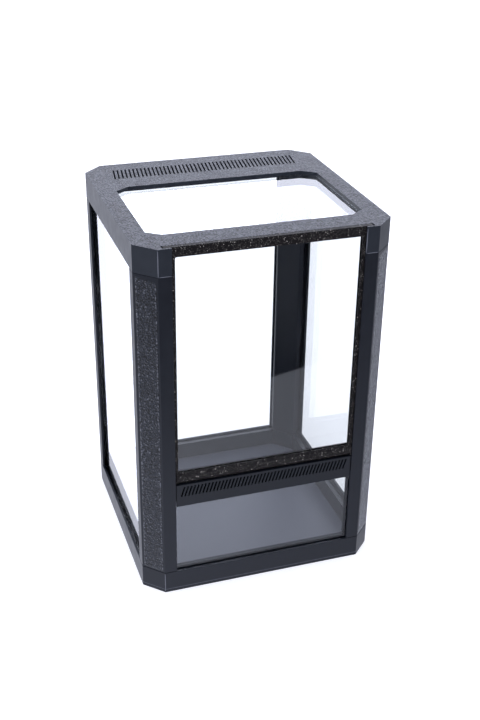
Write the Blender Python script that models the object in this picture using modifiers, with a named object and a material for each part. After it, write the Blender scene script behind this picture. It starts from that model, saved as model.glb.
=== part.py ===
"""Glazed small-animal cage: printed base, four corner posts, top frame, six clear panes and a lift-out door.

Units are metres, +Z is up and the door faces -Y. The origin is at the bottom centre of the base.
"""
import bmesh
import bpy
from math import atan2, cos, pi, sin
from mathutils import Matrix, Vector

# Driving dimensions of the whole cage.
WIDTH = 0.200
DEPTH = 0.196
HEIGHT = 0.302
CHAMFER = 0.0153  # leg of each cut corner
BASE_BAND = 0.0193  # height of the base
TOP_BAND = 0.0213  # height of the top frame
GAP = 0.0003  # clearance between pieces that touch
PAST = 0.01  # how far a cutter runs beyond the face it opens

# Section of the walls: outer lip, channel for a pane, inner lip.
WALL = 0.010
LIP = 0.0018
CHANNEL = 0.0046
POST_SPAN = 0.0255  # a post's size along each side, corner to inner edge
POST_GROOVE = 0.0067  # how far a channel enters a post
PANE_GROOVE = 0.0065  # how far a channel enters the base and the top frame
FLOOR = 0.003
PLATE = 0.0029

# Pegs of the posts and the screws that hold the base to them.
PEG_RADIUS = 0.0045
PEG_LENGTH = 0.009
PEG_INSET = 0.0124  # peg axis from both outer faces of the corner
PEG_ROOT = 0.006  # how far a peg runs into its post
ROUND_SIDES = 20
BASE_SCREW = {"shank": 0.0015, "head": 0.0030, "head_height": 0.0017, "length": 0.020}
DOOR_SCREW = {"shank": 0.0010, "head": 0.00175, "head_height": 0.0020, "length": 0.014}
BASE_SCREW_SEAT = 0.0002
DOOR_SCREW_SEAT = 0.005  # height of the head's shoulder above the door's lower edge

# Glazing.
PANE = 0.003
DOOR_PANE = 0.0015
BAR_PANE_ENTRY = 0.0037  # how far the lower front pane enters the vent bar
TOP_PANE_MARGIN = {"side": 0.0028, "front": 0.0036, "rear": 0.004}  # top pane beyond the window

# Top window and the two rows of leaning slots.
WINDOW_HALF_X = 0.0852
WINDOW_FRONT = -0.0704
WINDOW_REAR = 0.0386
WINDOW_CUT_X = 0.011
WINDOW_CUT_Y = 0.008
SLOT_COUNT = 48
SLOT_CUT = 0.04  # length of a slot cutter in its cutting direction
TOP_SLOT = {"width": 0.00135, "length": 0.0222, "pitch": 0.00332, "lean": 0.0030, "middle_y": 0.071}
BAR_SLOT = {"width": 0.00130, "length": 0.0092, "pitch": 0.00292, "lean": 0.0029, "middle_z": 0.0957}

# Vent bar and door.
BAR_LOW = 0.0823
BAR_HIGH = 0.1022
BAR_FRONT_STEP = 0.0007  # bar face behind the post faces
DOOR_HALF_X = 0.080
DOOR_OPENING_HALF_X = 0.0718
DOOR_TOP_RAIL = 0.008
DOOR_RAIL_HEIGHT = 0.0105
DOOR_PANE_GRIP = 0.003
RAIL_PANE_GRIP = 0.004
DOOR_AIR = 0.001  # room before and behind the door inside the top frame
DOOR_CORNER_RADIUS = 0.0012
RAIL_PROUD = 0.0017  # rail face in front of the door frame's face
RAIL_UNDERCUT = 0.0034  # height of the finger groove under the rail
RAIL_UNDERCUT_DEPTH = 0.0030
RAIL_TONGUE_ROOT = 0.0005  # how far the tongues at its ends run into the rail
RAIL_TOP_CUT = 0.0018  # leg of the bevel along the rail's upper front edge
RAIL_SIDE_GAP = 0.0006

# Sizes worked out from the ones above.
HALF_X = WIDTH / 2
HALF_Y = DEPTH / 2
POST_INNER_X = HALF_X - POST_SPAN
TOP_LOW = HEIGHT - TOP_BAND
PEG_X = HALF_X - PEG_INSET
PEG_Y = HALF_Y - PEG_INSET
CHANNEL_OUT_X = HALF_X - LIP
CHANNEL_OUT_Y = HALF_Y - LIP
CHANNEL_IN_X = CHANNEL_OUT_X - CHANNEL
CHANNEL_IN_Y = CHANNEL_OUT_Y - CHANNEL
CHANNEL_END_X = POST_INNER_X + POST_GROOVE
CHANNEL_END_Y = HALF_Y - POST_SPAN + POST_GROOVE
PANE_LOW = BASE_BAND - PANE_GROOVE + GAP
PANE_HIGH = TOP_LOW + PANE_GROOVE - GAP
DOOR_FRONT = -CHANNEL_OUT_Y + GAP
DOOR_BACK = -CHANNEL_IN_Y - GAP
DOOR_MIDDLE_Y = (DOOR_FRONT + DOOR_BACK) / 2
DOOR_LOW = BAR_HIGH + GAP
RAIL_HIGH = DOOR_LOW + DOOR_RAIL_HEIGHT - GAP
FRAME_LOW = RAIL_HIGH + GAP
MIDDLE_HALF_X = POST_INNER_X - RAIL_SIDE_GAP

for old in list(bpy.data.objects):
    bpy.data.objects.remove(old, do_unlink=True)

PARTS = bpy.data.collections.new("hamster_cage")
CUTTERS = bpy.data.collections.new("cutters")
bpy.context.scene.collection.children.link(PARTS)
bpy.context.scene.collection.children.link(CUTTERS)


def material(name, colour, roughness, metallic=0.0, alpha=1.0):
    """A Principled material from a linear colour."""
    made = bpy.data.materials.new(name)
    made.use_nodes = True
    shader = made.node_tree.nodes["Principled BSDF"]
    shader.inputs["Base Color"].default_value = (*colour, 1.0)
    shader.inputs["Roughness"].default_value = roughness
    shader.inputs["Metallic"].default_value = metallic
    shader.inputs["Alpha"].default_value = alpha
    return made


PRINTED = material("printed_slate", (0.030, 0.033, 0.044), 0.55)
GLITTER = material("printed_glitter_black", (0.018, 0.017, 0.019), 0.40)
CLEAR = material("clear_pane", (0.85, 0.90, 0.90), 0.05, alpha=0.2)
STEEL = material("zinc_steel", (0.45, 0.45, 0.43), 0.35, metallic=1.0)


def add_object(name, mesh, surface, at=(0.0, 0.0, 0.0)):
    """Link a mesh as a part when it has a material, else as a cutter."""
    made = bpy.data.objects.new(name, mesh)
    made.location = at
    if surface:
        mesh.materials.append(surface)
        PARTS.objects.link(made)
    else:
        CUTTERS.objects.link(made)
        made.hide_render = True
        made.display_type = "WIRE"
    return made


def box(name, low, high, surface=None):
    """A box between two opposite corners, with its origin at its middle."""
    low, high = Vector(low), Vector(high)
    shape = bmesh.new()
    bmesh.ops.create_cube(shape, size=1.0)
    bmesh.ops.scale(shape, vec=high - low, verts=shape.verts)
    mesh = bpy.data.meshes.new(name)
    shape.to_mesh(mesh)
    shape.free()
    return add_object(name, mesh, surface, (low + high) / 2)


def cylinder(name, radius, low, high, x, y):
    """An upright cylinder cutter or joining piece."""
    shape = bmesh.new()
    bmesh.ops.create_cone(shape, cap_ends=True, segments=ROUND_SIDES, radius1=radius, radius2=radius,
                          depth=high - low)
    mesh = bpy.data.meshes.new(name)
    shape.to_mesh(mesh)
    shape.free()
    return add_object(name, mesh, None, (x, y, (low + high) / 2))


def prism(name, outline, low, high, surface=None, turn=None):
    """A flat outline extruded from low to high along Z, then turned about the origin if asked."""
    curve = bpy.data.curves.new(name, "CURVE")
    curve.dimensions = "2D"
    curve.fill_mode = "BOTH"
    curve.extrude = (high - low) / 2
    spline = curve.splines.new("POLY")
    spline.points.add(len(outline) - 1)
    for point, (x, y) in zip(spline.points, outline):
        point.co = (x, y, 0.0, 1.0)
    spline.use_cyclic_u = True
    flat = bpy.data.objects.new(name + "_outline", curve)
    CUTTERS.objects.link(flat)
    bpy.context.view_layer.update()
    mesh = bpy.data.meshes.new_from_object(flat.evaluated_get(bpy.context.evaluated_depsgraph_get()))
    bpy.data.objects.remove(flat, do_unlink=True)
    mesh.name = name
    shape = bmesh.new()
    shape.from_mesh(mesh)
    bmesh.ops.remove_doubles(shape, verts=shape.verts, dist=1e-6)
    bmesh.ops.translate(shape, vec=(0.0, 0.0, (low + high) / 2), verts=shape.verts)
    if turn:
        bmesh.ops.transform(shape, matrix=turn, verts=shape.verts)
    bmesh.ops.recalc_face_normals(shape, faces=shape.faces)
    shape.to_mesh(mesh)
    shape.free()
    mesh.materials.clear()
    return add_object(name, mesh, surface)


def turned(name, profile, x, y, z, surface=None):
    """A turned piece about an upright axis from (radius, height) points, listed from the top down."""
    mesh = bpy.data.meshes.new(name)
    points = [(radius, 0.0, height) for radius, height in profile]
    mesh.from_pydata(points, [(i, i + 1) for i in range(len(points) - 1)], [])
    made = add_object(name, mesh, surface, (x, y, z))
    spin = made.modifiers.new("turn", "SCREW")
    spin.steps = ROUND_SIDES
    spin.render_steps = ROUND_SIDES
    spin.use_merge_vertices = True
    spin.merge_threshold = 0.00001
    return made


def combine(piece, other, operation):
    """Add a Boolean modifier to a piece."""
    step = piece.modifiers.new(other.name, "BOOLEAN")
    step.operation = operation
    step.solver = "EXACT"
    step.object = other


def cut(piece, *cutters):
    for cutter in cutters:
        combine(piece, cutter, "DIFFERENCE")


def join(piece, *others):
    for other in others:
        combine(piece, other, "UNION")


def octagon(half_x, half_y, leg_x, leg_y, middle_y=0.0):
    """A rectangle with four cut corners, anticlockwise from the right side."""
    corner = [(half_x, half_y - leg_y), (half_x - leg_x, half_y)]
    turns = [(1, 1, corner), (-1, 1, corner[::-1]), (-1, -1, corner), (1, -1, corner[::-1])]
    return [(sx * x, sy * y + middle_y) for sx, sy, pair in turns for x, y in pair]


def slot_row(name, size, start, step, along, through, lean_axis):
    """Equal slots in one cutter, each turned by its lean about lean_axis.

    start is the first slot's middle, step leads to the next, along is the slot's long direction (0 to 2)
    and through its cutting direction.
    """
    shape = bmesh.new()
    scale = [size["width"]] * 3
    scale[along] = size["length"]
    scale[through] = SLOT_CUT
    angle = atan2(size["lean"], size["length"])
    if lean_axis == "Z":
        angle = -angle
    for number in range(SLOT_COUNT):
        place = Matrix.Translation(Vector(start) + number * Vector(step))
        place = place @ Matrix.Rotation(angle, 4, lean_axis) @ Matrix.Diagonal((*scale, 1.0))
        bmesh.ops.create_cube(shape, size=1.0, matrix=place)
    mesh = bpy.data.meshes.new(name)
    shape.to_mesh(mesh)
    shape.free()
    return add_object(name, mesh, None)


def corners():
    """Name and signs of the four corners."""
    return [("front_left", -1, -1), ("front_right", 1, -1), ("rear_left", -1, 1), ("rear_right", 1, 1)]


def side_channels(name, low, high):
    """Cutters for the channels of the left, right and rear panes."""
    made = []
    for side, sign in (("left", -1), ("right", 1)):
        low_x, high_x = sorted((sign * CHANNEL_IN_X, sign * CHANNEL_OUT_X))
        made.append(box(f"{name}_{side}", (low_x, -CHANNEL_END_Y, low), (high_x, CHANNEL_END_Y, high)))
    made.append(box(f"{name}_rear", (-CHANNEL_END_X, CHANNEL_IN_Y, low),
                    (CHANNEL_END_X, CHANNEL_OUT_Y, high)))
    return made


def screw_profile(size, grow=0.0):
    """Screw outline (radius, height) from its tip down to its head, head at the bottom and height 0."""
    return [
        (0.0, size["length"] + grow),
        (size["shank"] + grow, size["length"] + grow),
        (size["shank"] + grow, size["head_height"]),
        (size["head"] + grow, 0.0),
        (0.0, 0.0),
    ]


# The base: a tray with cut corners, a channel for every pane and a socket for every post.
base = prism("base", octagon(HALF_X, HALF_Y, CHAMFER, CHAMFER), 0.0, BASE_BAND, PRINTED)
inner_leg = POST_SPAN - WALL
tray = prism("tray_cut", octagon(HALF_X - WALL, HALF_Y - WALL, inner_leg, inner_leg), FLOOR,
             BASE_BAND + PAST)
channel_floor = BASE_BAND - PANE_GROOVE
cut(base, tray, *side_channels("base_channel", channel_floor, BASE_BAND + PAST))
cut(base, box("base_channel_front", (-CHANNEL_END_X, -CHANNEL_OUT_Y, channel_floor),
              (CHANNEL_END_X, -CHANNEL_IN_Y, BASE_BAND + PAST)))

# Corner posts with a peg at each end, and the screw that comes up through the base into each lower peg.
peg_low = BASE_BAND + GAP - PEG_LENGTH
peg_high = TOP_LOW - GAP + PEG_LENGTH
for corner, sx, sy in corners():
    peg_x, peg_y = sx * PEG_X, sy * PEG_Y
    socket = cylinder(f"base_socket_{corner}", PEG_RADIUS + GAP, peg_low - GAP, BASE_BAND + PAST,
                      peg_x, peg_y)
    hole = turned(f"screw_hole_{corner}", screw_profile(BASE_SCREW, GAP), peg_x, peg_y, BASE_SCREW_SEAT)
    mouth = cylinder(f"screw_mouth_{corner}", BASE_SCREW["head"] + GAP, -PAST, BASE_SCREW_SEAT + GAP,
                     peg_x, peg_y)
    cut(base, socket, hole, mouth)
    section = [
        (HALF_X, HALF_Y - CHAMFER),
        (HALF_X - CHAMFER, HALF_Y),
        (POST_INNER_X, HALF_Y),
        (POST_INNER_X, CHANNEL_OUT_Y),
        (CHANNEL_END_X, CHANNEL_OUT_Y),
        (CHANNEL_END_X, CHANNEL_IN_Y),
        (POST_INNER_X, CHANNEL_IN_Y),
        (POST_INNER_X, HALF_Y - WALL),
        (HALF_X - WALL, HALF_Y - POST_SPAN),
        (CHANNEL_IN_X, HALF_Y - POST_SPAN),
        (CHANNEL_IN_X, CHANNEL_END_Y),
        (CHANNEL_OUT_X, CHANNEL_END_Y),
        (CHANNEL_OUT_X, HALF_Y - POST_SPAN),
        (HALF_X, HALF_Y - POST_SPAN),
    ]
    outline = [(sx * x, sy * y) for x, y in section]
    post = prism(f"post_{corner}", outline, BASE_BAND + GAP, TOP_LOW - GAP, PRINTED)
    join(post, cylinder(f"peg_low_{corner}", PEG_RADIUS, peg_low, BASE_BAND + PEG_ROOT, peg_x, peg_y))
    join(post, cylinder(f"peg_high_{corner}", PEG_RADIUS, TOP_LOW - PEG_ROOT, peg_high, peg_x, peg_y))
    cut(post, hole)
    turned(f"base_screw_{corner}", screw_profile(BASE_SCREW), peg_x, peg_y, BASE_SCREW_SEAT, STEEL)

# The top frame: the same wall upside down, closed by a plate with the window and the rear slots.
top_frame = prism("top_frame", octagon(HALF_X, HALF_Y, CHAMFER, CHAMFER), TOP_LOW, HEIGHT, PRINTED)
under = prism("top_hollow_cut", octagon(HALF_X - WALL, HALF_Y - WALL, inner_leg, inner_leg), TOP_LOW - PAST,
              HEIGHT - PLATE)
window_half_y = (WINDOW_REAR - WINDOW_FRONT) / 2
window_middle = (WINDOW_REAR + WINDOW_FRONT) / 2
window = prism("window_cut", octagon(WINDOW_HALF_X, window_half_y, WINDOW_CUT_X, WINDOW_CUT_Y, window_middle),
               HEIGHT - PAST, HEIGHT + PAST)
door_way = [
    (-POST_INNER_X, -HALF_Y - PAST),
    (POST_INNER_X, -HALF_Y - PAST),
    (POST_INNER_X, -CHANNEL_OUT_Y),
    (CHANNEL_END_X, -CHANNEL_OUT_Y),
    (CHANNEL_END_X, -CHANNEL_IN_Y),
    (-CHANNEL_END_X, -CHANNEL_IN_Y),
    (-CHANNEL_END_X, -CHANNEL_OUT_Y),
    (-POST_INNER_X, -CHANNEL_OUT_Y),
]
door_clearance = box("door_clearance", (-POST_INNER_X, -CHANNEL_IN_Y - DOOR_AIR, TOP_LOW - PAST),
                     (POST_INNER_X, -HALF_Y + WALL + DOOR_AIR, HEIGHT - PLATE))
cut(top_frame, under, window, prism("door_way_cut", door_way, TOP_LOW - PAST, HEIGHT + PAST),
    door_clearance)
cut(top_frame, *side_channels("top_channel", TOP_LOW - PAST, TOP_LOW + PANE_GROOVE))
for corner, sx, sy in corners():
    cut(top_frame, cylinder(f"top_socket_{corner}", PEG_RADIUS + GAP, TOP_LOW - PAST, peg_high + GAP,
                            sx * PEG_X, sy * PEG_Y))
first_slot = -(SLOT_COUNT - 1) / 2
top_slots = slot_row("top_slots", TOP_SLOT, (first_slot * TOP_SLOT["pitch"], TOP_SLOT["middle_y"], HEIGHT),
                     (TOP_SLOT["pitch"], 0.0, 0.0), along=1, through=2, lean_axis="Z")
cut(top_frame, top_slots)

# The fixed panes. Each stands against the inner side of its channel, the lower front one against the outer.
pane_in_x = CHANNEL_IN_X + GAP
pane_in_y = CHANNEL_IN_Y + GAP
box("left_pane", (-pane_in_x - PANE, -CHANNEL_END_Y + GAP, PANE_LOW),
    (-pane_in_x, CHANNEL_END_Y - GAP, PANE_HIGH), CLEAR)
box("right_pane", (pane_in_x, -CHANNEL_END_Y + GAP, PANE_LOW),
    (pane_in_x + PANE, CHANNEL_END_Y - GAP, PANE_HIGH), CLEAR)
box("back_pane", (-CHANNEL_END_X + GAP, pane_in_y, PANE_LOW),
    (CHANNEL_END_X - GAP, pane_in_y + PANE, PANE_HIGH), CLEAR)
lower_pane_high = BAR_LOW + BAR_PANE_ENTRY
lower_pane_front = -CHANNEL_OUT_Y + GAP
box("lower_front_pane", (-CHANNEL_END_X + GAP, lower_pane_front, PANE_LOW),
    (CHANNEL_END_X - GAP, lower_pane_front + PANE, lower_pane_high), CLEAR)
top_pane_half_x = WINDOW_HALF_X + TOP_PANE_MARGIN["side"]
top_pane_high = HEIGHT - PLATE - GAP
box("top_pane", (-top_pane_half_x, WINDOW_FRONT - TOP_PANE_MARGIN["front"], top_pane_high - PANE),
    (top_pane_half_x, WINDOW_REAR + TOP_PANE_MARGIN["rear"], top_pane_high), CLEAR)

# The vent bar: tongues in the post channels, a groove below for the lower pane, a row of leaning slots.
bar_front = -HALF_Y + BAR_FRONT_STEP
bar_back = -HALF_Y + WALL
vent_bar = box("vent_bar", (-MIDDLE_HALF_X, bar_front, BAR_LOW), (MIDDLE_HALF_X, bar_back, BAR_HIGH), PRINTED)
tongue_low = lower_pane_high + GAP
join(vent_bar, box("bar_tongues", (-DOOR_HALF_X, DOOR_FRONT, tongue_low),
                   (DOOR_HALF_X, DOOR_BACK, BAR_HIGH - GAP)))
cut(vent_bar, box("bar_groove", (-HALF_X, lower_pane_front - GAP, BAR_LOW - PAST),
                  (HALF_X, lower_pane_front + PANE + GAP, tongue_low)))
bar_slots = slot_row("bar_slots", BAR_SLOT, (first_slot * BAR_SLOT["pitch"], (bar_front + bar_back) / 2,
                                             BAR_SLOT["middle_z"]),
                     (BAR_SLOT["pitch"], 0.0, 0.0), along=2, through=1, lean_axis="Y")
cut(vent_bar, bar_slots)

# The door slides up out of the channel of the front posts. Its empty is at the middle of its lower edge.
door_slide = bpy.data.objects.new("door_slide", None)
PARTS.objects.link(door_slide)
door_slide.location = (0.0, DOOR_MIDDLE_Y, DOOR_LOW)


def hang_on_door(piece):
    """Parent a finished piece to the door's empty without moving it."""
    piece.parent = door_slide
    piece.matrix_parent_inverse = Matrix.Translation(-Vector(door_slide.location))


def door_outline():
    """Arch of the door frame in X and Z: square outside, rounded inside."""
    steps = 5
    radius = DOOR_CORNER_RADIUS
    inner_top = HEIGHT - DOOR_TOP_RAIL
    centre_x = DOOR_OPENING_HALF_X - radius
    centre_z = inner_top - radius
    arc = [(centre_x + radius * cos(pi / 2 * i / steps), centre_z + radius * sin(pi / 2 * i / steps))
           for i in range(steps + 1)]
    inner = [(DOOR_OPENING_HALF_X, FRAME_LOW)] + arc
    right = [(DOOR_HALF_X, HEIGHT), (DOOR_HALF_X, FRAME_LOW)] + inner
    return right + [(-x, z) for x, z in reversed(right)]


stand_up = Matrix.Rotation(pi / 2, 4, "X")
door_frame = prism("door_frame", door_outline(), -DOOR_BACK, -DOOR_FRONT, GLITTER, stand_up)
groove_half_x = DOOR_OPENING_HALF_X + DOOR_PANE_GRIP + GAP
groove_low = RAIL_HIGH - RAIL_PANE_GRIP
groove_high = HEIGHT - DOOR_TOP_RAIL + DOOR_PANE_GRIP + GAP
groove_half_y = DOOR_PANE / 2 + GAP
door_groove = box("door_groove", (-groove_half_x, DOOR_MIDDLE_Y - groove_half_y, groove_low),
                  (groove_half_x, DOOR_MIDDLE_Y + groove_half_y, groove_high))
cut(door_frame, door_groove)
door_pane = box("door_pane", (-groove_half_x + GAP, DOOR_MIDDLE_Y - DOOR_PANE / 2, groove_low + GAP),
                (groove_half_x - GAP, DOOR_MIDDLE_Y + DOOR_PANE / 2, groove_high - GAP), CLEAR)

# The door's lower rail stands proud between the posts and is undercut as a finger lip. A tongue at each end
# runs in the channel of its post.
rail_face = DOOR_FRONT - RAIL_PROUD
rail_section = [
    (DOOR_BACK, DOOR_LOW),
    (rail_face + RAIL_UNDERCUT_DEPTH, DOOR_LOW),
    (rail_face, DOOR_LOW + RAIL_UNDERCUT),
    (rail_face, RAIL_HIGH - RAIL_TOP_CUT),
    (rail_face + RAIL_TOP_CUT, RAIL_HIGH),
    (DOOR_BACK, RAIL_HIGH),
]
lie_along = Matrix(((0, 0, 1, 0), (1, 0, 0, 0), (0, 1, 0, 0), (0, 0, 0, 1)))
door_rail = prism("door_rail", rail_section, -MIDDLE_HALF_X, MIDDLE_HALF_X, GLITTER, lie_along)
for side, sign in (("left", -1), ("right", 1)):
    low_x, high_x = sorted((sign * (MIDDLE_HALF_X - RAIL_TONGUE_ROOT), sign * DOOR_HALF_X))
    join(door_rail, box(f"rail_tongue_{side}", (low_x, DOOR_FRONT, DOOR_LOW + GAP),
                        (high_x, DOOR_BACK - GAP, RAIL_HIGH - GAP)))
cut(door_rail, door_groove)
door_pieces = [door_frame, door_pane, door_rail]

# Two screws come up through the rail's ends into the door frame's stiles.
door_screw_x = (groove_half_x + DOOR_HALF_X) / 2
seat = DOOR_LOW + DOOR_SCREW_SEAT
for side, sign in (("left", -1), ("right", 1)):
    x = sign * door_screw_x
    shank = cylinder(f"door_screw_hole_{side}", DOOR_SCREW["shank"] + GAP, DOOR_LOW - PAST,
                     seat + DOOR_SCREW["length"] + GAP, x, DOOR_MIDDLE_Y)
    recess = cylinder(f"door_screw_recess_{side}", DOOR_SCREW["head"] + GAP, DOOR_LOW - PAST, seat + GAP, x,
                      DOOR_MIDDLE_Y)
    cut(door_frame, shank)
    cut(door_rail, shank, recess)
    cap_profile = [
        (0.0, DOOR_SCREW["length"]),
        (DOOR_SCREW["shank"], DOOR_SCREW["length"]),
        (DOOR_SCREW["shank"], 0.0),
        (DOOR_SCREW["head"], 0.0),
        (DOOR_SCREW["head"], -DOOR_SCREW["head_height"]),
        (0.0, -DOOR_SCREW["head_height"]),
    ]
    door_pieces.append(turned(f"door_screw_{side}", cap_profile, x, DOOR_MIDDLE_Y, seat, STEEL))

bpy.context.view_layer.update()
for piece in door_pieces:
    hang_on_door(piece)
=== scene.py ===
"""The looks of the glazed small-animal cage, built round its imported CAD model.

The sections follow the order in which the cage is put together.
"""
from math import cos, pi, radians, sin

import bpy
import numpy as np
from mathutils import Matrix, Vector


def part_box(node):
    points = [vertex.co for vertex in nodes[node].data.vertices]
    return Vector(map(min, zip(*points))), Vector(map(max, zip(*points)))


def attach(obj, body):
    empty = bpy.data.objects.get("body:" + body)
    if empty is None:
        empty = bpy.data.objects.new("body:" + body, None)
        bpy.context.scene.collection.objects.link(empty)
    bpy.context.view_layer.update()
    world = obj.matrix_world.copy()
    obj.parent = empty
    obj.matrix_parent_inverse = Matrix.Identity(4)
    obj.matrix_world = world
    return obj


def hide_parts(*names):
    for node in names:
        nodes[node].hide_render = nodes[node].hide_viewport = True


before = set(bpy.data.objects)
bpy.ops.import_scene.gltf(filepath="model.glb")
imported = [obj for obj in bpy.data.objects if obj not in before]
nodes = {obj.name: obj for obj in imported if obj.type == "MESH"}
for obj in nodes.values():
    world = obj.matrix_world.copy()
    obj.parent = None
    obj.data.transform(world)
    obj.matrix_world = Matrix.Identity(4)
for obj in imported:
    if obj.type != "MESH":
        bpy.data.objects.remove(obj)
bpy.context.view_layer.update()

scene = bpy.context.scene
MM = 0.001

# ------------------------------------------------------------------------------------------------ Camera
# A 55 mm lens stands 0.8 m in front of the cage, a little to its left, and looks down on it. The hand that
# held it tipped it by under one degree.
VIEW_AZIMUTH, VIEW_ELEVATION, VIEW_TILT = radians(-18.6), radians(27.78), radians(0.83)
VIEW_PLACE = (-0.2565, -0.7910, 0.5916)
VIEW_LENS = 55.1

back = Vector((sin(VIEW_AZIMUTH) * cos(VIEW_ELEVATION), -cos(VIEW_AZIMUTH) * cos(VIEW_ELEVATION),
               sin(VIEW_ELEVATION)))
level = (-back).cross(Vector((0, 0, 1))).normalized()
upright = level.cross(-back)
right = level * cos(VIEW_TILT) + upright * sin(VIEW_TILT)
up = upright * cos(VIEW_TILT) - level * sin(VIEW_TILT)
camera = bpy.data.objects.new("camera", bpy.data.cameras.new("camera"))
camera.data.lens = VIEW_LENS
camera.data.clip_start = 0.01
camera.matrix_world = Matrix.Translation(VIEW_PLACE) @ Matrix((right, up, back)).transposed().to_4x4()
scene.collection.objects.link(camera)
scene.camera = camera
scene.view_settings.view_transform = "Standard"


# ------------------------------------------------------------------------------------------------ Room
# A pale table under a bright white tent, with one soft box behind and one above. Dark felt lies on the table in
# front of the cage: no lens sees it, but the door and the front faces mirror it, as they do a dark room.
def linear(code, alpha=1.0):
    """An sRGB hex colour as linear RGBA."""
    part = np.array([int(code[i:i + 2], 16) for i in (1, 3, 5)]) / 255
    part = np.where(part <= 0.04045, part / 12.92, ((part + 0.055) / 1.055) ** 2.4)
    return (*part.tolist(), alpha)


def add(tree, kind, settings=None, **inputs):
    """Adds a node. Settings are its own fields. Inputs are its sockets by name, or in_N for socket N, and each
    takes a value or another node's output."""
    node = tree.nodes.new("ShaderNode" + kind)
    for key, value in (settings or {}).items():
        setattr(node, key, value)
    for key, value in inputs.items():
        socket = node.inputs[int(key[3:]) if key.startswith("in_") else key.replace("_", " ")]
        if isinstance(value, bpy.types.NodeSocket):
            tree.links.new(value, socket)
        else:
            socket.default_value = value
    return node


def new_material(name):
    """An empty node material: its tree, and its output node."""
    made = bpy.data.materials.new(name)
    made.use_nodes = True
    made.node_tree.nodes.clear()
    return made, made.node_tree, add(made.node_tree, "OutputMaterial")


def mesh_object(name, points, faces, surface):
    """A new object at the origin, with its place in its mesh."""
    mesh = bpy.data.meshes.new(name)
    mesh.from_pydata(np.asarray(points).tolist(), [], faces)
    mesh.materials.append(surface)
    made = bpy.data.objects.new(name, mesh)
    scene.collection.objects.link(made)
    return made


def shade_only(thing, *kinds):
    """Shows a staged thing only to these kinds of ray."""
    for kind in ("camera", "diffuse", "glossy", "transmission", "volume_scatter", "shadow"):
        setattr(thing, "visible_" + kind, kind in kinds)


TENT_LIGHT = (0.90, 0.93, 1.08)
TENT_STRENGTH = 0.85
world = bpy.data.worlds.new("tent")
world.use_nodes = True
world.node_tree.nodes["Background"].inputs["Color"].default_value = (*TENT_LIGHT, 1)
world.node_tree.nodes["Background"].inputs["Strength"].default_value = TENT_STRENGTH
scene.world = world

TABLE_REACH = 9.0
TABLE_GLOW = 0.47
table_paint, tree, output = new_material("matt white laminate")
table_shader = add(tree, "BsdfPrincipled", Base_Color=linear("#e9e9ea"), Roughness=0.9,
                   Emission_Color=(1, 1, 1, 1), Emission_Strength=TABLE_GLOW)
table_shader.inputs["Specular IOR Level"].default_value = 0.1
tree.links.new(table_shader.outputs[0], output.inputs[0])
square = np.array([(-1, -1, 0), (1, -1, 0), (1, 1, 0), (-1, 1, 0)], float)
table = mesh_object("table", square * TABLE_REACH, [(0, 1, 2, 3)], table_paint)

# What the polished faces mirror of the table is bright at the left and dims to the right, where the room is.
CARD_REACH = 3.0
CARD_LEFT, CARD_RIGHT = (-0.1, 1.4), (0.2, 0.8)  # where along X its fade starts and ends, and how bright
card_paint, tree, output = new_material("table in mirrors")
spot = add(tree, "SeparateXYZ", Vector=add(tree, "TexCoord").outputs["Object"])
glow = add(tree, "MapRange", in_0=spot.outputs["X"], in_1=CARD_LEFT[0], in_2=CARD_RIGHT[0],
           in_3=CARD_LEFT[1], in_4=CARD_RIGHT[1]).outputs[0]
tree.links.new(add(tree, "Emission", Color=(*TENT_LIGHT, 1), Strength=glow).outputs[0], output.inputs[0])
card = mesh_object("mirror_card", square * CARD_REACH + [0, 0, 0.3 * MM], [(0, 1, 2, 3)], card_paint)
shade_only(card, "glossy")

felt_black, tree, output = new_material("black felt")
tree.links.new(add(tree, "BsdfDiffuse", Color=linear("#050505")).outputs[0], output.inputs[0])
FELT_NEAR = -0.378  # where its near edge crosses the middle
FELT_SLOPE = -0.27  # how that edge runs off square
FELT_SIZE = 3.0
felt_edge = [(-FELT_SIZE, FELT_NEAR - FELT_SLOPE * FELT_SIZE), (-FELT_SIZE, -2 * FELT_SIZE),
             (FELT_SIZE, -2 * FELT_SIZE), (FELT_SIZE, FELT_NEAR + FELT_SLOPE * FELT_SIZE)]
felt = mesh_object("felt", [(x, y, 0.5 * MM) for x, y in felt_edge], [(0, 1, 2, 3)], felt_black)
shade_only(felt, "glossy")


def soft_box(name, place, target, width, height, radiance):
    """A rectangle of even light that faces a target. A lamp's power is its radiance times pi and its area."""
    lamp = bpy.data.lights.new(name, "AREA")
    lamp.shape = "RECTANGLE"
    lamp.size, lamp.size_y = width, height
    lamp.color = TENT_LIGHT
    lamp.energy = radiance * pi * width * height
    made = bpy.data.objects.new(name, lamp)
    aim = Vector(target) - Vector(place)
    made.matrix_world = Matrix.Translation(place) @ aim.to_track_quat("-Z", "Y").to_matrix().to_4x4()
    scene.collection.objects.link(made)
    shade_only(made, "diffuse", "glossy", "transmission", "shadow")
    return made


CAGE_MIDDLE = (0, 0, 0.2)
soft_box("rear_box", (0.5, 2.4, 1.25), CAGE_MIDDLE, width=3.6, height=1.9, radiance=1.7)
soft_box("roof_box", (-0.5, -0.2, 2.6), CAGE_MIDDLE, width=2.4, height=2.4, radiance=1.5)


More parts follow.
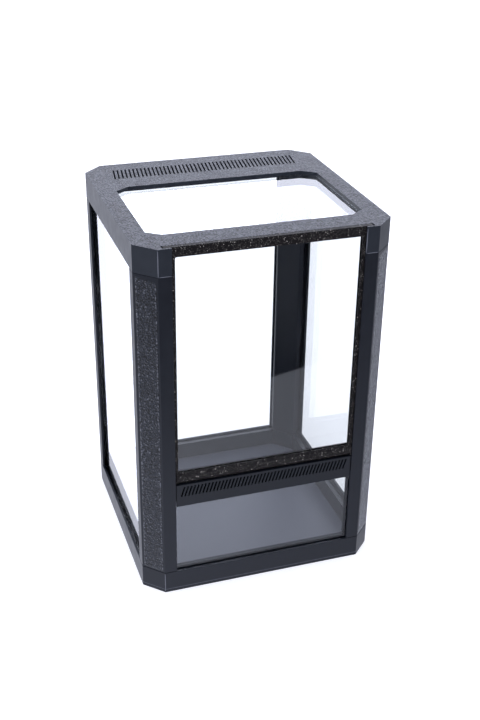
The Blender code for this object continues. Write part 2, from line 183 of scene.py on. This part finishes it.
# ------------------------------------------------------------------------------------------------ Base
# The tray that all the rest stands on. It is slate-grey PLA, printed flat on the bed, so its walls carry fine
# level ribs and its edges have the nozzle's small round. Grooves hold the panes, sockets hold the posts.
def soften(piece, radius):
    """Finishes a printed CAD solid: its triangles are joined, its flat faces made whole, its edges rounded."""
    join = piece.modifiers.new("join", "WELD")
    join.merge_threshold = 0.01 * MM
    whole = piece.modifiers.new("whole faces", "DECIMATE")
    whole.decimate_type = "DISSOLVE"
    whole.angle_limit = radians(0.5)
    rounded = piece.modifiers.new("round edges", "BEVEL")
    rounded.width = radius
    rounded.segments = 2
    rounded.limit_method = "ANGLE"
    rounded.angle_limit = radians(25)


def paint(piece, surface):
    """Gives a piece one material in place of what it had."""
    piece.data.materials.clear()
    piece.data.materials.append(surface)


def noise(tree, place, size, detail, roughness=0.5):
    """Noise from 0 to 1 whose blotches are about this size."""
    return add(tree, "TexNoise", Vector=place, Scale=1 / size, Detail=detail,
               Roughness=roughness).outputs["Fac"]


def spread(tree, value, low, high, start=0.0, end=1.0):
    """Maps a value's range from low to high onto start to end, and holds it there beyond."""
    return add(tree, "MapRange", in_0=value, in_1=low, in_2=high, in_3=start, in_4=end).outputs[0]


def blend(tree, share, first, second):
    """The first colour where the share is 0, the second where it is 1."""
    return add(tree, "Mix", {"data_type": "RGBA"}, in_0=share, in_6=first, in_7=second).outputs[2]


LAYER_RIB = 0.9 * MM  # layers are 0.2 mm: drawn coarser so that they show
WAVES_PER_UNIT = 20 / (2 * pi)  # of Wave Texture at scale 1
CLOUD_SIZE = 9 * MM
TOOTH_SIZE = 0.8 * MM
GRAIN_SIZE = 1.1 * MM
SKIN_REACH = 0.2 * MM  # how far from its height a skin still counts


def printed_slate(name, dark, light, skin=None):
    """PLA with a satin skin: layer ribs, and a faint mottle between two colours. Skin is the height of a flat
    face with a grain of its own, that grain's two colours, and how deep it is. The skin's colour follows its
    bump: darker in the pits and lighter on the peaks, as painted shade and painted highlight."""
    made, tree, output = new_material(name)
    place = add(tree, "TexCoord").outputs["Object"]
    ribs = add(tree, "TexWave", {"wave_type": "BANDS", "bands_direction": "Z"}, Vector=place,
               Scale=1 / WAVES_PER_UNIT / LAYER_RIB, Distortion=0.6, Detail=1.0,
               Detail_Scale=0.4).outputs["Fac"]
    mottle = noise(tree, place, CLOUD_SIZE, 4.0, 0.6)
    tooth = noise(tree, place, TOOTH_SIZE, 2.0)
    height = add(tree, "Mix", {"data_type": "FLOAT"}, in_0=0.55, in_2=ribs, in_3=tooth).outputs[0]
    colour = blend(tree, mottle, linear(dark), linear(light))
    rough = spread(tree, mottle, 0.3, 0.7, 0.36, 0.44)
    bump = add(tree, "Bump", Strength=0.3, Distance=0.02 * MM, Height=height).outputs[0]
    if skin:
        skin_height, pit_colour, peak_colour, depth = skin
        level = add(tree, "SeparateXYZ", Vector=place).outputs["Z"]
        on_skin = add(tree, "Math", {"operation": "COMPARE"}, in_0=level, in_1=skin_height,
                      in_2=SKIN_REACH).outputs[0]
        # On the skin the colour follows the bump's noise: painted shade in the pits, painted highlight on the
        # peaks.
        pits = spread(tree, noise(tree, place, GRAIN_SIZE, 1.0, 0.6), 0.39, 0.61)
        painted_skin_tone = blend(tree, pits, linear(pit_colour), linear(peak_colour))
        colour = blend(tree, on_skin, colour, painted_skin_tone)
        grained = add(tree, "Bump", Strength=1.0, Distance=depth, Height=pits).outputs[0]
        bump = add(tree, "Mix", {"data_type": "VECTOR"}, in_0=on_skin, in_4=bump, in_5=grained).outputs[1]
    shader = add(tree, "BsdfPrincipled", Base_Color=colour, Roughness=rough, Normal=bump, IOR=1.32)
    tree.links.new(shader.outputs[0], output.inputs[0])
    return made


FLOOR_HEIGHT = 3.0 * MM
FRAME_ROUND = 0.35 * MM
soften(nodes["base"], FRAME_ROUND)
# The floor inside is painted much lighter than the walls of the same slate: painted light on the face that looks
# up.
paint(nodes["base"], printed_slate("slate PLA, ironed floor, painted lighter", "#14171e", "#191d26",
                                   (FLOOR_HEIGHT, "#50535d", "#565963", 0.01 * MM)))


# ------------------------------------------------------------------------------------------------ Base screws
# Four countersunk steel screws, 6 mm over the head and zinc plated, come up through the base into the lower
# pegs of the posts. They have a rolled thread and a cross recess, seen only from below.
SCREW_SIDES = 40
RINGS_PER_PITCH = 5
FACE_RINGS = 16
CROSS_REACH, CROSS_WIDTH, CROSS_DEPTH = 0.62, 0.17, 0.75  # in head radii, and in head heights


def screw_surface(length, head_radius, head_height, shank_radius, pitch, cone):
    """Points of a screw, head at height 0 and tip up, as rows of rings. A ring's radius is the shank's less a
    triangle wave that climbs one pitch a turn. Under the head it widens to the head's radius, on a cone or in a
    step. The face's rings close in on the axis, and are sunk where a cross of two tapered bars covers them."""
    around = np.linspace(0, 2 * pi, SCREW_SIDES, endpoint=False)
    rise = np.linspace(length, head_height, int(length / pitch * RINGS_PER_PITCH))[:, None]
    wave = np.abs(((rise / pitch - around / (2 * pi)) % 1) * 2 - 1)
    taper = np.clip((length - rise) / (2 * pitch), 0.25, 1) * np.clip((rise - head_height) / pitch, 0, 1)
    shank = shank_radius * np.clip(0.25 + (length - rise) / (3 * pitch), 0, 1) - 0.32 * pitch * wave * taper
    neck = [shank_radius if cone else head_radius, head_radius, head_radius]
    neck_rise = np.array([0.98, 0.12, 0.0] if cone else [1.0, 0.5, 0.0]) * head_height
    face = np.linspace(head_radius * 0.93, 0.02 * head_radius, FACE_RINGS)
    closing = np.concatenate([neck, face])[:, None]
    radius = np.vstack([shank, np.repeat(closing, SCREW_SIDES, 1)])
    x, y = radius * np.cos(around), radius * np.sin(around)
    along = np.maximum(abs(x), abs(y)) / head_radius
    across = np.minimum(abs(x), abs(y)) / head_radius
    sunk = np.clip((CROSS_REACH - along) / 0.10, 0, 1) * np.clip((CROSS_WIDTH - across) / 0.06, 0, 1)
    sunk = sunk * np.clip(1.1 - along, 0, 1) * CROSS_DEPTH * head_height
    z = np.vstack([rise, neck_rise[:, None], np.zeros((FACE_RINGS, 1))]) + 0 * around
    z[-FACE_RINGS:] += sunk[-FACE_RINGS:]
    return np.stack([x, y, z], 2)


def tube_faces(rows, columns, start=0):
    """Quads between the rings of a grid whose columns close, with its first and last ring closed by a cap."""
    index = start + np.arange(rows * columns).reshape(rows, columns)
    after = np.roll(index, -1, 1)
    quads = np.stack([index[:-1], after[:-1], after[1:], index[1:]], 2).reshape(-1, 4)
    return quads.tolist() + [index[0, ::-1].tolist(), index[-1].tolist()]


zinc, tree, output = new_material("zinc-plated steel, rolled")
place = add(tree, "TexCoord").outputs["Object"]
cloud = noise(tree, place, 1.5 * MM, 3.0)
tone = blend(tree, cloud, linear("#a7a9a6"), linear("#c8c8c0"))
rough = spread(tree, cloud, 0.0, 1.0, 0.25, 0.45)
shader = add(tree, "BsdfPrincipled", Base_Color=tone, Metallic=1.0, Roughness=rough)
tree.links.new(shader.outputs[0], output.inputs[0])


def place_screw(node, surface, body):
    """Puts a screw in place of its CAD node: its head is the lowest part of that node's box."""
    low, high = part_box(node)
    points = surface + np.array([(low.x + high.x) / 2, (low.y + high.y) / 2, low.z])
    rows, columns = points.shape[:2]
    made = mesh_object(node + "_turned", points.reshape(-1, 3), tube_faces(rows, columns), zinc)
    made.data.polygons.foreach_set("use_smooth", [True] * len(made.data.polygons))
    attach(made, body)
    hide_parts(node)


corners = [("front_left", -1, -1), ("front_right", 1, -1), ("rear_left", -1, 1), ("rear_right", 1, 1)]
base_screw = screw_surface(20 * MM, head_radius=3.0 * MM, head_height=1.7 * MM, shank_radius=1.5 * MM,
                           pitch=0.7 * MM, cone=True)
for corner, sx, sy in corners:
    place_screw("base_screw_" + corner, base_screw, "case")


# ------------------------------------------------------------------------------------------------ Posts
# One upright print at each corner, in the same slate PLA, with a round peg at each end that presses into the
# base or the top frame. A jittering nozzle printed the cut face, which leaves a fuzzy field in a smooth border.
base_low, base_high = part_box("base")
top_low, top_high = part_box("top_frame")
HALF_X, HALF_Y = base_high.x, base_high.y
CHAMFER = 15.3 * MM
SPAN = 25.5 * MM
WALL = 10.0 * MM
LIP = 1.8 * MM
CHANNEL = 4.6 * MM
GROOVE = 6.7 * MM
GAP = 0.3 * MM
POST_ROUND = 0.45 * MM
ARC_STEPS = 4
FUZZ_STEP = 0.45 * MM  # between jitters both ways: a layer is 0.2 mm, drawn coarser so that it shows
FUZZ_DEPTH = 0.3 * MM
FUZZ_GAIN = 0.45  # of each of the four random draws that make a jitter
FUZZ_LEFT, FUZZ_RIGHT = (1.4 * MM, 1.9 * MM), (0.7 * MM, 1.1 * MM)  # in from a border: where it starts, is full
FUZZ_FOOT, FUZZ_HEAD = (1.5 * MM, 2.5 * MM), (0.5 * MM, 1.2 * MM)
BRIM_LEFT, BRIM_RISE = 1.5 * MM, 2.5 * MM  # smooth brim under the top frame, and how much it grows to the right
SEAM_LEFT, SEAM_RIGHT = 2.4 * MM, 1.7 * MM  # where the fuzz stands highest, in from a border
SEAM_SPREAD = 0.5 * MM
POST_LOW, POST_HIGH = base_high.z + GAP, top_low.z - GAP
PEG_INSET, PEG_RADIUS, PEG_LENGTH = 12.4 * MM, 4.5 * MM, 9.0 * MM
PEG_ROUND = 0.5 * MM
PEG_SIDES = 32


def smooth_step(value, start, end):
    """Rises from 0 to 1 between start and end, level at both."""
    t = np.clip((value - start) / (end - start), 0, 1)
    return t * t * (3 - 2 * t)


def round_corners(outline, radius, steps):
    """A closed outline with each corner swapped for an arc, as (corner, point, xy). The arc is the quadratic
    curve that leaves one edge a radius before the corner and joins the next a radius after it."""
    corner = np.asarray(outline, float)
    before, after = np.roll(corner, 1, 0) - corner, np.roll(corner, -1, 0) - corner
    start = corner + before / np.linalg.norm(before, axis=1, keepdims=True) * radius
    end = corner + after / np.linalg.norm(after, axis=1, keepdims=True) * radius
    t = np.linspace(0, 1, steps)[None, :, None]
    return start[:, None] * (1 - t) ** 2 + corner[:, None] * 2 * t * (1 - t) + end[:, None] * t ** 2


def post_surface(sx, sy, seed):
    """Rings of a post from its foot up, and the fuzz at each point. Each ring is the rounded section, and the
    end rings step in to round the rim. On the cut face the fuzz is smoothed noise, faded out in a border and
    higher just inside it, and it moves the face along its normal."""
    x1, y1, cx, cy = HALF_X, HALF_Y, HALF_X - LIP, HALF_Y - LIP
    px, py = HALF_X - SPAN, HALF_Y - SPAN
    outline = [(x1, y1 - CHAMFER), (x1 - CHAMFER, y1), (px, y1), (px, cy), (px + GROOVE, cy),
               (px + GROOVE, cy - CHANNEL), (px, cy - CHANNEL), (px, y1 - WALL), (x1 - WALL, py),
               (cx - CHANNEL, py), (cx - CHANNEL, py + GROOVE), (cx, py + GROOVE), (cx, py), (x1, py)]
    arcs = round_corners(outline, POST_ROUND, ARC_STEPS)
    face_width = CHAMFER * 2 ** 0.5
    t = np.linspace(0, 1, int(face_width / FUZZ_STEP))[1:-1, None]
    face = arcs[0, -1] * (1 - t) + arcs[1, 0] * t
    section = np.concatenate([arcs[0], face, arcs[1:].reshape(-1, 2)])
    tangent = np.roll(section, -1, 0) - np.roll(section, 1, 0)
    normal = np.stack([tangent[:, 1], -tangent[:, 0]], 1) / np.linalg.norm(tangent, axis=1, keepdims=True)
    layers = int((POST_HIGH - POST_LOW) / FUZZ_STEP)
    rise = np.linspace(POST_LOW + POST_ROUND, POST_HIGH - POST_ROUND, layers)
    rim = 0.3 * POST_ROUND
    rise = np.concatenate([[POST_LOW, POST_LOW + rim], rise, [POST_HIGH - rim, POST_HIGH]])
    inset = np.zeros_like(rise)
    inset[[0, -1]], inset[[1, -2]] = POST_ROUND, rim
    points = section[None] - normal[None] * inset[:, None, None]
    jitter = np.random.default_rng(seed).uniform(-1, 1, (len(rise), len(face)))
    jitter = FUZZ_GAIN * (jitter + np.roll(jitter, 1, 0) + np.roll(jitter, 1, 1)
                          + np.roll(jitter, (1, 1), (0, 1)))
    along = np.linspace(0, 1, len(face)) * face_width
    wide = smooth_step(along, *FUZZ_LEFT) * smooth_step(face_width - along, *FUZZ_RIGHT)
    brim = BRIM_LEFT + BRIM_RISE * along / face_width
    tall = smooth_step(rise - POST_LOW, *FUZZ_FOOT)[:, None]
    tall = tall * smooth_step(POST_HIGH - rise[:, None] - brim, *FUZZ_HEAD)
    seam = np.exp(-((along - SEAM_LEFT) / SEAM_SPREAD) ** 2)
    seam = seam + np.exp(-((face_width - along - SEAM_RIGHT) / SEAM_SPREAD) ** 2)
    share = np.zeros(points.shape[:2])
    share[:, ARC_STEPS:ARC_STEPS + len(face)] = (0.5 + 0.5 * jitter) * wide * tall * (1 + 0.5 * seam)
    points += (share * FUZZ_DEPTH / 2 ** 0.5)[..., None]
    points = points * [sx, sy]
    solid = np.concatenate([points, np.broadcast_to(rise[:, None, None], (*points.shape[:2], 1))], 2)
    return (solid, share) if sx * sy > 0 else (solid[:, ::-1], share[:, ::-1])


def peg_surface(x, y, low, high, radius):
    """A turned peg: rings about an upright axis, drawn in at both ends by a small chamfer."""
    around = np.linspace(0, 2 * pi, PEG_SIDES, endpoint=False)[None]
    rise = np.array([low, low + PEG_ROUND, high - PEG_ROUND, high])[:, None]
    size = np.array([radius - PEG_ROUND, radius, radius, radius - PEG_ROUND])[:, None]
    return np.stack([x + size * np.cos(around), y + size * np.sin(around), rise + 0 * around], 2)


smooth_slate = printed_slate("slate PLA, satin print", "#14171e", "#191d26")
fuzzy_slate, tree, output = new_material("slate PLA, fuzzy skin, painted peak highlight")
place = add(tree, "TexCoord").outputs["Object"]
pits = spread(tree, noise(tree, place, 1.3 * MM, 1.0), 0.4, 0.6)
fuzz_share = add(tree, "Attribute", {"attribute_name": "fuzz"}).outputs["Fac"]
# The fuzz's highest points, and so the seam just inside its border, are coloured lighter: a painted highlight
# standing in for the light the peaks catch.
fuzz_peak_highlight = add(tree, "MapRange", {"interpolation_type": "SMOOTHSTEP"}, in_0=fuzz_share, in_1=0.58,
           in_2=1.25).outputs[0]
plain = blend(tree, pits, linear("#06080b"), linear("#20242d"))
tone = blend(tree, fuzz_peak_highlight, plain, linear("#5c5f68"))
rough = spread(tree, fuzz_share, 0.0, 0.3, 0.40, 0.62)
bump = add(tree, "Bump", Strength=1.0, Distance=0.16 * MM, Height=pits).outputs[0]
shader = add(tree, "BsdfPrincipled", Base_Color=tone, Roughness=rough, Normal=bump, IOR=1.24,
             Sheen_Weight=1.0, Sheen_Roughness=0.30, Sheen_Tint=(0.92, 0.94, 1.0, 1),
             Coat_Weight=1.0, Coat_IOR=1.22, Coat_Roughness=0.35)
tree.links.new(shader.outputs[0], output.inputs[0])


def joined(shells):
    """The points and faces of several closed grids as one mesh."""
    points, faces = [], []
    for shell in shells:
        faces += tube_faces(*shell.shape[:2], start=sum(map(len, points)))
        points.append(shell.reshape(-1, 3))
    return np.concatenate(points), faces


for number, (corner, sx, sy) in enumerate(corners):
    peg_x, peg_y = sx * (HALF_X - PEG_INSET), sy * (HALF_Y - PEG_INSET)
    body_points, fuzz = post_surface(sx, sy, number)
    points, faces = joined([
        body_points,
        peg_surface(peg_x, peg_y, POST_LOW - PEG_LENGTH, POST_LOW + MM, PEG_RADIUS),
        peg_surface(peg_x, peg_y, POST_HIGH - MM, POST_HIGH + PEG_LENGTH, PEG_RADIUS)])
    post = mesh_object(f"post_{corner}_print", points, faces, smooth_slate)
    post.data.materials.append(fuzzy_slate)
    beside = fuzz + np.roll(fuzz, -1, 1)
    rough_face = np.zeros(len(faces), int)
    rough_face[:beside[:-1].size] = (beside[:-1] + beside[1:] > 0).ravel()
    post.data.polygons.foreach_set("material_index", rough_face.tolist())
    stored = np.zeros(len(post.data.vertices))
    stored[:fuzz.size] = fuzz.ravel()
    post.data.attributes.new("fuzz", "FLOAT", "POINT").data.foreach_set("value", stored)
    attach(post, "case")
    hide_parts(f"post_{corner}")


# ------------------------------------------------------------------------------------------------ Top frame
# The lid, slate PLA printed face down: its top took the grain of the textured bed, its walls are smooth. It is
# pressed onto the upper pegs. A row of leaning slots lets air out, and a pane is glued under its window.
soften(nodes["top_frame"], FRAME_ROUND)
# Its top face is painted much lighter than its walls. The bed's grain is real bumps, with painted shade in its
# pits and painted highlight on its peaks.
paint(nodes["top_frame"], printed_slate("slate PLA, textured-bed print, painted light on top", "#20242b", "#252a32",
                                        (top_high.z, "#0c0e12", "#5c5f67", 0.42 * MM)))

# Where each wall's layers start and stop, a thin bead of plastic stands along an edge. It is coloured light
# grey, far lighter than the slate, as a painted highlight along that edge.
BEAD_RADIUS = 0.32 * MM
BEAD_SIDES = 10


def bead_surface(start, end):
    """A round bead along a straight line: rings about the line, drawn in to a blunt point at both ends."""
    start, end = np.array(start, float), np.array(end, float)
    way = (end - start) / np.linalg.norm(end - start)
    side = np.cross(way, [0.3, 0.5, 0.8])
    side = side / np.linalg.norm(side)
    over = np.cross(way, side)
    around = np.linspace(0, 2 * pi, BEAD_SIDES, endpoint=False)[None, :, None]
    t = np.array([0, 0.01, 0.03, 0.25, 0.5, 0.75, 0.97, 0.99, 1.0])[:, None, None]
    size = BEAD_RADIUS * np.sin(np.arccos(np.clip(np.abs(2 * t - 1), 0, 0.995))) ** 0.25
    return start + t * (end - start) + size * (side * np.cos(around) + over * np.sin(around))


def add_beads(name, lines):
    """One piece that holds the beads along these lines."""
    beads = mesh_object(name, *joined([bead_surface(start, end) for start, end in lines]), highlight_bead_slate)
    beads.data.polygons.foreach_set("use_smooth", [True] * len(beads.data.polygons))
    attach(beads, "case")


# The beads' light grey is a painted highlight, not the colour of the plastic.
highlight_bead_slate = printed_slate("slate PLA, bead painted as highlight", "#5d6069", "#70737d")
SINK = 0.22 * MM  # how far a bead's middle lies inside the edge
outer_x, inner_x = HALF_X - CHAMFER, HALF_X - SPAN + SINK
front_y, foot_z = -HALF_Y + SINK, top_low.z + SINK
base_foot, base_rim = base_low.z + MM, base_high.z - 0.5 * MM
add_beads("top_frame_highlight_beads", [
    ((-outer_x, front_y, foot_z), (-outer_x, front_y, top_high.z - MM)),
    ((-outer_x, front_y, foot_z), (-inner_x, front_y, foot_z)),
    ((inner_x, front_y, foot_z), (outer_x, front_y, foot_z)),
    ((inner_x, front_y, foot_z), (inner_x, front_y, top_high.z - MM))])
add_beads("base_highlight_bead", [((-outer_x, front_y, base_foot), (-outer_x, front_y, base_rim))])


# ------------------------------------------------------------------------------------------------ Panes
# Clear sheet cut to size, its sharp edges just broken. The panes drop into the grooves as the frame is built.
HEAD_ON_SHARE = 0.05
TURN_POWER = 4.5


def clear_plate(name, tint):
    """Clear sheet seen as a thin plate: most light passes straight on, and the rest is mirrored by a share that
    climbs from little head on to all of it at a glance, as a power of how far the face is turned away."""
    made, tree, output = new_material(name)
    away = add(tree, "LayerWeight", Blend=0.5).outputs["Facing"]
    climb = add(tree, "Math", {"operation": "POWER"}, in_0=away, in_1=TURN_POWER).outputs[0]
    share = spread(tree, climb, 0.0, 1.0, HEAD_ON_SHARE, 1.0)
    through = add(tree, "BsdfTransparent", Color=linear(tint))
    mirror = add(tree, "BsdfGlossy", Roughness=0.0)
    plate = add(tree, "MixShader", in_0=share, in_1=through.outputs[0], in_2=mirror.outputs[0])
    tree.links.new(plate.outputs[0], output.inputs[0])
    return made


PANE_ROUND = 0.3 * MM
clear = clear_plate("clear sheet, cut and polished", "#fdfefe")
for name in ("left_pane", "right_pane", "back_pane", "lower_front_pane", "top_pane"):
    soften(nodes[name], PANE_ROUND)
    paint(nodes[name], clear)

# Two more soft boxes are there for one pane each, which mirrors its own as plain white: one lies on the table at
# the left, one hangs behind.
for name, place, target, width, height, radiance in (
        ("left_pane", (-0.36, 0.35, 1 * MM), (-0.36, 0.35, 1.0), 0.5, 1.5, 1.6),
        ("top_pane", (0.5, 2.3, 1.2), CAGE_MIDDLE, 3.6, 1.9, 1.9)):
    glow_box = soft_box(name + "_glow", place, target, width, height, radiance)
    shade_only(glow_box, "glossy")
    receiver = bpy.data.collections.new(name + " alone")
    receiver.objects.link(nodes[name])
    glow_box.light_linking.receiver_collection = receiver


# ------------------------------------------------------------------------------------------------ Vent bar
# A slate PLA bar between the front posts. Its tongues sit in their grooves, the lower pane stands in the groove
# under it, and its leaning slots let air in.
FINE_ROUND = 0.3 * MM
soften(nodes["vent_bar"], FINE_ROUND)
# Its slate is a shade darker than the base's and the posts': painted shade from the proud door rail above it.
paint(nodes["vent_bar"], printed_slate("slate PLA, bridged bar, painted shade", "#13161c", "#181c24"))


# ------------------------------------------------------------------------------------------------ Door
# A frame and a lower rail, both printed in near-black PLA filled with glitter. The rail stands proud as a finger
# lip. A thin clear plate sits in their groove, and two small screws hold them together.
FLAKE = 0.75 * MM  # glitter is 0.1 to 0.2 mm: drawn coarser so that it shows


def glitter_black(name):
    """Black PLA with glitter in two sizes: a few of many cells hold a flake, as bright as the cell's chance."""
    made, tree, output = new_material(name)
    place = add(tree, "TexCoord").outputs["Object"]
    layers = []
    for size, rare, strength in ((FLAKE, 0.955, 0.9), (0.65 * FLAKE, 0.70, 0.24)):
        cells = add(tree, "TexVoronoi", {"feature": "F1"}, Vector=place, Scale=1 / size, Randomness=1.0)
        chance = add(tree, "SeparateColor", in_0=cells.outputs["Color"]).outputs[0]
        bright = spread(tree, chance, rare, 1.0, 0.0, strength)
        core = spread(tree, cells.outputs["Distance"], 0.32, 0.50, 1.0, 0.0)
        layers.append(add(tree, "Math", {"operation": "MULTIPLY"}, in_0=bright, in_1=core).outputs[0])
    flake = add(tree, "Math", {"operation": "MAXIMUM"}, in_0=layers[0], in_1=layers[1]).outputs[0]
    mottle = noise(tree, place, 1.0 * MM, 3.0)
    body = blend(tree, mottle, linear("#0e0d0e"), linear("#1c191a"))
    colour = blend(tree, flake, body, linear("#f2ece2"))
    bump = add(tree, "Bump", Strength=0.5, Distance=0.08 * MM, Height=mottle).outputs[0]
    shader = add(tree, "BsdfPrincipled", Base_Color=colour, Metallic=flake, Roughness=0.45,
                 Normal=bump, IOR=1.18)
    tree.links.new(shader.outputs[0], output.inputs[0])
    return made


DOOR_PANE_ROUND = 0.2 * MM
glitter = glitter_black("black glitter PLA, print")
for name, radius, surface in (("door_frame", FINE_ROUND, glitter), ("door_rail", FINE_ROUND, glitter),
                              ("door_pane", DOOR_PANE_ROUND, clear)):
    soften(nodes[name], radius)
    paint(nodes[name], surface)
door_screw = screw_surface(16 * MM, head_radius=1.75 * MM, head_height=2.0 * MM, shank_radius=1.0 * MM,
                           pitch=0.5 * MM, cone=False)
for side in ("left", "right"):
    place_screw("door_screw_" + side, door_screw, "door")
